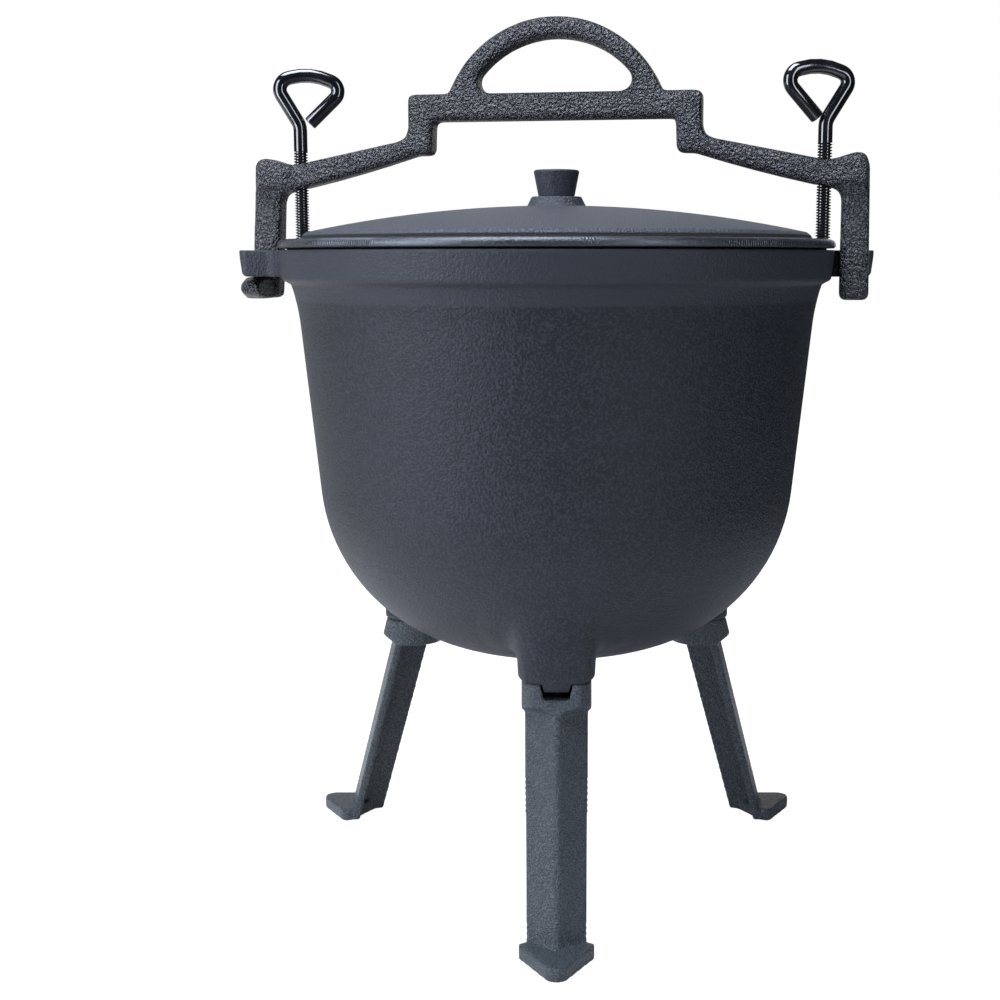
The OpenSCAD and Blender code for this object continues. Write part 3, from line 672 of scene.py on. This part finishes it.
def bent_rod(shape, wire, sides, bends, start):
    """Bends a rod upwards from start into the finger loop, run by run and bend by bend."""
    ring = bmesh.ops.create_circle(shape, segments=sides, radius=wire, cap_ends=False,
                                   matrix=Matrix.Translation((0, 0, start)))["verts"]
    edges = list({e for v in ring for e in v.link_edges})
    at, heading = Vector((0, 0, start)), 0.0
    for run, radius, angle in bends:
        way = Vector((math.sin(heading), 0, math.cos(heading)))
        grown = bmesh.ops.extrude_edge_only(shape, edges=edges)["geom"]
        verts = [g for g in grown if isinstance(g, bmesh.types.BMVert)]
        edges = [g for g in grown if isinstance(g, bmesh.types.BMEdge)]
        bmesh.ops.translate(shape, verts=verts, vec=way * run * MM)
        at = at + way * run * MM
        if angle:
            side = -1 if angle > 0 else 1
            across = Vector((math.cos(heading), 0, -math.sin(heading)))
            centre = at + across * side * radius * MM
            steps = max(3, int(abs(angle) / BEND_STEP))
            swept = bmesh.ops.spin(shape, geom=verts + edges, cent=centre, axis=(0, 1, 0),
                                   angle=math.radians(-angle), steps=steps, use_duplicate=False)
            edges = [g for g in swept["geom_last"] if isinstance(g, bmesh.types.BMEdge)]
            turned = Matrix.Rotation(math.radians(-angle), 3, "Y")
            at = centre + turned @ (at - centre)
            heading -= math.radians(angle)
    rim = bmesh.ops.contextual_create(shape, geom=edges)["faces"]
    bmesh.ops.bevel(shape, geom=[e for f in rim for e in f.edges], offset=TIP_ROUND, affect="EDGES",
                    segments=2, profile=0.5, material=-1)


def threaded_rod(shape, rod, low, high):
    """A threaded rod from low to high: a zigzag swept along a helix, cut off square at both ends."""
    pitch, crest, root = rod.pitch, rod.crest, rod.crest - rod.depth
    turns = int((high - low) / pitch) + 3
    base = low - pitch * 1.5
    line = []
    for i in range(turns):
        z = base + i * pitch
        for part, at_crest in THREAD_PROFILE:
            line.append(shape.verts.new((crest if at_crest else root, 0, z + part * pitch)))
    edges = [shape.edges.new(pair) for pair in zip(line, line[1:])]
    bmesh.ops.spin(shape, geom=line + edges, cent=(0, 0, 0), axis=(0, 0, 1), angle=math.tau,
                   steps=rod.sides, dvec=(0, 0, pitch / rod.sides), use_merge=False, use_duplicate=False)
    bmesh.ops.remove_doubles(shape, verts=shape.verts[:], dist=MERGE)
    for height, outer in ((low, False), (high, True)):
        cut = bmesh.ops.bisect_plane(shape, geom=shape.verts[:] + shape.edges[:] + shape.faces[:], dist=1e-7,
                                     plane_co=(0, 0, height), plane_no=(0, 0, 1 if outer else -1),
                                     clear_outer=True)["geom_cut"]
        bmesh.ops.contextual_create(shape, geom=[g for g in cut if isinstance(g, bmesh.types.BMEdge)])


def mark_grooves(shape, middle, top):
    """Marks the bottom of the thread's grooves, which are rough and painted darker as shade."""
    groove = shape.verts.layers.float.new("groove")
    for vert in shape.verts:
        deep = vert.co.z < top and math.hypot(vert.co.x, vert.co.y) < middle
        vert[groove] = 1.0 if deep else 0.0


def thumbscrew(side, rod, along, thread_top, neck, loop_turn, bends):
    """Mesh of one thumbscrew in its place: the bent rod down to its neck, and the thread below it."""
    shape = bmesh.new()
    bent_rod(shape, rod.wire, rod.sides, bends, neck * MM)
    grown = bmesh.ops.extrude_edge_only(shape, edges=[e for e in shape.edges if e.is_boundary])["geom"]
    foot = [g for g in grown if isinstance(g, bmesh.types.BMVert)]
    bmesh.ops.translate(shape, verts=foot, vec=(0, 0, (thread_top - ROD_IN_THREAD - neck) * MM))
    bmesh.ops.contextual_create(shape, geom=[g for g in grown if isinstance(g, bmesh.types.BMEdge)])
    thread = bmesh.new()
    threaded_rod(thread, rod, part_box(side + "_thumbscrew")[0].z, thread_top * MM)
    spare = bpy.data.meshes.new("thread")
    thread.to_mesh(spare)
    thread.free()
    shape.from_mesh(spare)
    bpy.data.meshes.remove(spare)
    mark_grooves(shape, rod.crest - rod.depth * 0.5, thread_top * MM)
    axis = Matrix.Rotation(YOKE_TURN, 4, "Z") @ Vector((along * MM, 0, 0))
    turn = Matrix.Rotation(math.radians(loop_turn), 4, "Z")
    bmesh.ops.transform(shape, matrix=Matrix.Translation(axis) @ turn, verts=shape.verts[:])
    bmesh.ops.recalc_face_normals(shape, faces=shape.faces[:])
    mesh = bpy.data.meshes.new(side + "_bent_rod")
    shape.to_mesh(mesh)
    shape.free()
    mesh.shade_smooth()
    mesh.set_sharp_from_angle(angle=THREAD_SHARP)
    return mesh


class CAULDRON_OT_thumbscrews(bpy.types.Operator):
    """Bends the two thumbscrews and cuts their threads"""

    bl_idname = "cauldron.thumbscrews"
    bl_label = "Thumbscrews"

    def execute(self, context):
        looks, rod = context.scene.cauldron_finish, context.scene.cauldron_rod
        material = black_rod("Black rod", tuple(looks.rod_colour))
        for side, measures in SCREWS.items():
            mesh = thumbscrew(side, rod, *measures)
            piece = put(side + "_bent_rod", mesh, side + "_screw", material)
            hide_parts(side + "_thumbscrew")
        return {"FINISHED"}


class CAULDRON_OT_fasteners(bpy.types.Operator):
    """Finishes the bolts, the washers and the knob's screw"""

    bl_idname = "cauldron.fasteners"
    bl_label = "Bolts and washers"

    def execute(self, context):
        plate = zinc_plate("Zinc plate", tuple(context.scene.cauldron_finish.zinc_colour))
        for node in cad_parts:
            if "bolt" in node or "washer" in node or node == "knob_screw":
                dress(node, plate)
        return {"FINISHED"}


def pale_paper(studio):
    """Pale floor: white to the camera, giving light back near the pot, and glowing behind it on the left."""
    paper, tree, shader, where = new_finish("Pale paper")
    path = tree.nodes.new("ShaderNodeLightPath").outputs["Is Camera Ray"]
    x, y, _ = split_axes(tree, where)
    back = math_node(tree, "MULTIPLY", remap(tree, y, -0.5, 0.2), studio.sweep)
    back = math_node(tree, "MULTIPLY", back, remap(tree, x, -0.5, 0.1, 1.0, 0.03))
    away = math_node(tree, "SQRT", math_node(tree, "ADD", math_node(tree, "POWER", x, 2.0),
                                             math_node(tree, "POWER", y, 2.0)))
    shade = mix_colour(tree, remap(tree, away, 0.3, 0.8), (studio.bounce,) * 3, (0.06, 0.06, 0.06))
    tree.links.new(mix_colour(tree, path, shade, (0.25, 0.25, 0.25)), shader.inputs["Base Color"])
    glow = tree.nodes.new("ShaderNodeCombineColor")
    for channel in ("Red", "Green", "Blue"):
        tree.links.new(back, glow.inputs[channel])
    white = mix_colour(tree, path, (0.0, 0.0, 0.0), (1.0, 1.0, 1.0))
    tree.links.new(mix_colour(tree, path, glow.outputs[0], white), shader.inputs["Emission Color"])
    shader.inputs["Emission Strength"].default_value = 1.0
    shader.inputs["Roughness"].default_value = 0.9
    shader.inputs["Specular IOR Level"].default_value = 0.0
    return paper


def studio_sky(studio):
    """World that is white to the camera, dark in front, and lit low behind the pot."""
    world = bpy.data.worlds.new("Studio")
    world.use_nodes = True
    tree = world.node_tree
    sky = tree.nodes["Background"]
    _, back, up = split_axes(tree, tree.nodes.new("ShaderNodeTexCoord").outputs["Generated"])
    lit = math_node(tree, "MULTIPLY", remap(tree, back, 0.72, 0.98), remap(tree, up, 0.35, 0.7, 1.0, 0.0))
    lit = math_node(tree, "MULTIPLY_ADD", lit, studio.sweep - studio.room, studio.room)
    path = tree.nodes.new("ShaderNodeLightPath")
    tree.links.new(math_node(tree, "MAXIMUM", lit, path.outputs["Is Camera Ray"]), sky.inputs["Strength"])
    sky.inputs["Color"].default_value = (1, 1, 1, 1)
    return world


def soft_box(name, place, aim, size, power):
    """A rectangular light that looks at a point."""
    light = bpy.data.lights.new(name, "AREA")
    light.shape = "RECTANGLE"
    light.size, light.size_y = size
    light.energy = power
    light.color = BOX_COLOUR
    lamp = bpy.data.objects.new(name, light)
    bpy.context.scene.collection.objects.link(lamp)
    lamp.location = place
    lamp.rotation_mode = "QUATERNION"
    lamp.rotation_quaternion = (Vector(aim) - Vector(place)).to_track_quat("-Z", "Y")


class CAULDRON_OT_studio(bpy.types.Operator):
    """Sets up the floor, the lights and the camera"""

    bl_idname = "cauldron.studio"
    bl_label = "Studio"

    def execute(self, context):
        scene, studio = context.scene, context.scene.cauldron_studio
        shape = bmesh.new()
        bmesh.ops.create_grid(shape, x_segments=2, y_segments=2, size=FLOOR_SIZE)
        mesh = bpy.data.meshes.new("floor")
        shape.to_mesh(mesh)
        shape.free()
        floor = bpy.data.objects.new("floor", mesh)
        scene.collection.objects.link(floor)
        floor.data.materials.append(pale_paper(studio))

        scene.world = studio_sky(studio)
        for side, (place, aim, size) in BOXES.items():
            soft_box(side + "_box", place, aim, size, getattr(studio, side + "_power"))

        camera = bpy.data.objects.new("camera", bpy.data.cameras.new("camera"))
        scene.collection.objects.link(camera)
        camera.location = (0, -studio.camera_distance, studio.camera_height)
        camera.rotation_euler = (math.pi / 2 - studio.camera_pitch, 0, 0)
        camera.data.lens = studio.lens
        camera.data.sensor_width = 36
        camera.data.shift_x = studio.shift
        camera.data.clip_start = 0.02
        scene.camera = camera
        scene.view_settings.view_transform = "Standard"
        return {"FINISHED"}


class CAULDRON_PT_panel(bpy.types.Panel):
    """The cauldron's pieces and settings"""

    bl_idname = "CAULDRON_PT_panel"
    bl_label = "Cauldron"
    bl_space_type = "VIEW_3D"
    bl_region_type = "UI"
    bl_category = "Cauldron"

    def draw(self, context):
        scene, layout = context.scene, self.layout
        for piece in PIECES:
            layout.operator(piece.bl_idname)
        for group in (scene.cauldron_finish, scene.cauldron_casting, scene.cauldron_rod, scene.cauldron_studio):
            column = layout.column(align=True)
            for key in group.bl_rna.properties.keys():
                if key not in ("rna_type", "name"):
                    column.prop(group, key)


PIECES = (
    CAULDRON_OT_studio,
    CAULDRON_OT_pot,
    CAULDRON_OT_yoke,
    CAULDRON_OT_legs,
    CAULDRON_OT_thumbscrews,
    CAULDRON_OT_fasteners,
)
SETTINGS = {
    "cauldron_finish": FinishSettings,
    "cauldron_casting": CastingSettings,
    "cauldron_rod": RodSettings,
    "cauldron_studio": StudioSettings,
}


def register():
    for settings in SETTINGS.values():
        bpy.utils.register_class(settings)
    for name, settings in SETTINGS.items():
        setattr(bpy.types.Scene, name, PointerProperty(type=settings))
    for piece in PIECES:
        bpy.utils.register_class(piece)
    bpy.utils.register_class(CAULDRON_PT_panel)


def unregister():
    bpy.utils.unregister_class(CAULDRON_PT_panel)
    for piece in reversed(PIECES):
        bpy.utils.unregister_class(piece)
    for name in SETTINGS:
        delattr(bpy.types.Scene, name)
    for settings in SETTINGS.values():
        bpy.utils.unregister_class(settings)


def main():
    register()
    bpy.ops.cauldron.studio()
    bpy.ops.cauldron.pot()
    bpy.ops.cauldron.yoke()
    bpy.ops.cauldron.legs()
    bpy.ops.cauldron.thumbscrews()
    bpy.ops.cauldron.fasteners()


if __name__ == "__main__":
    main()
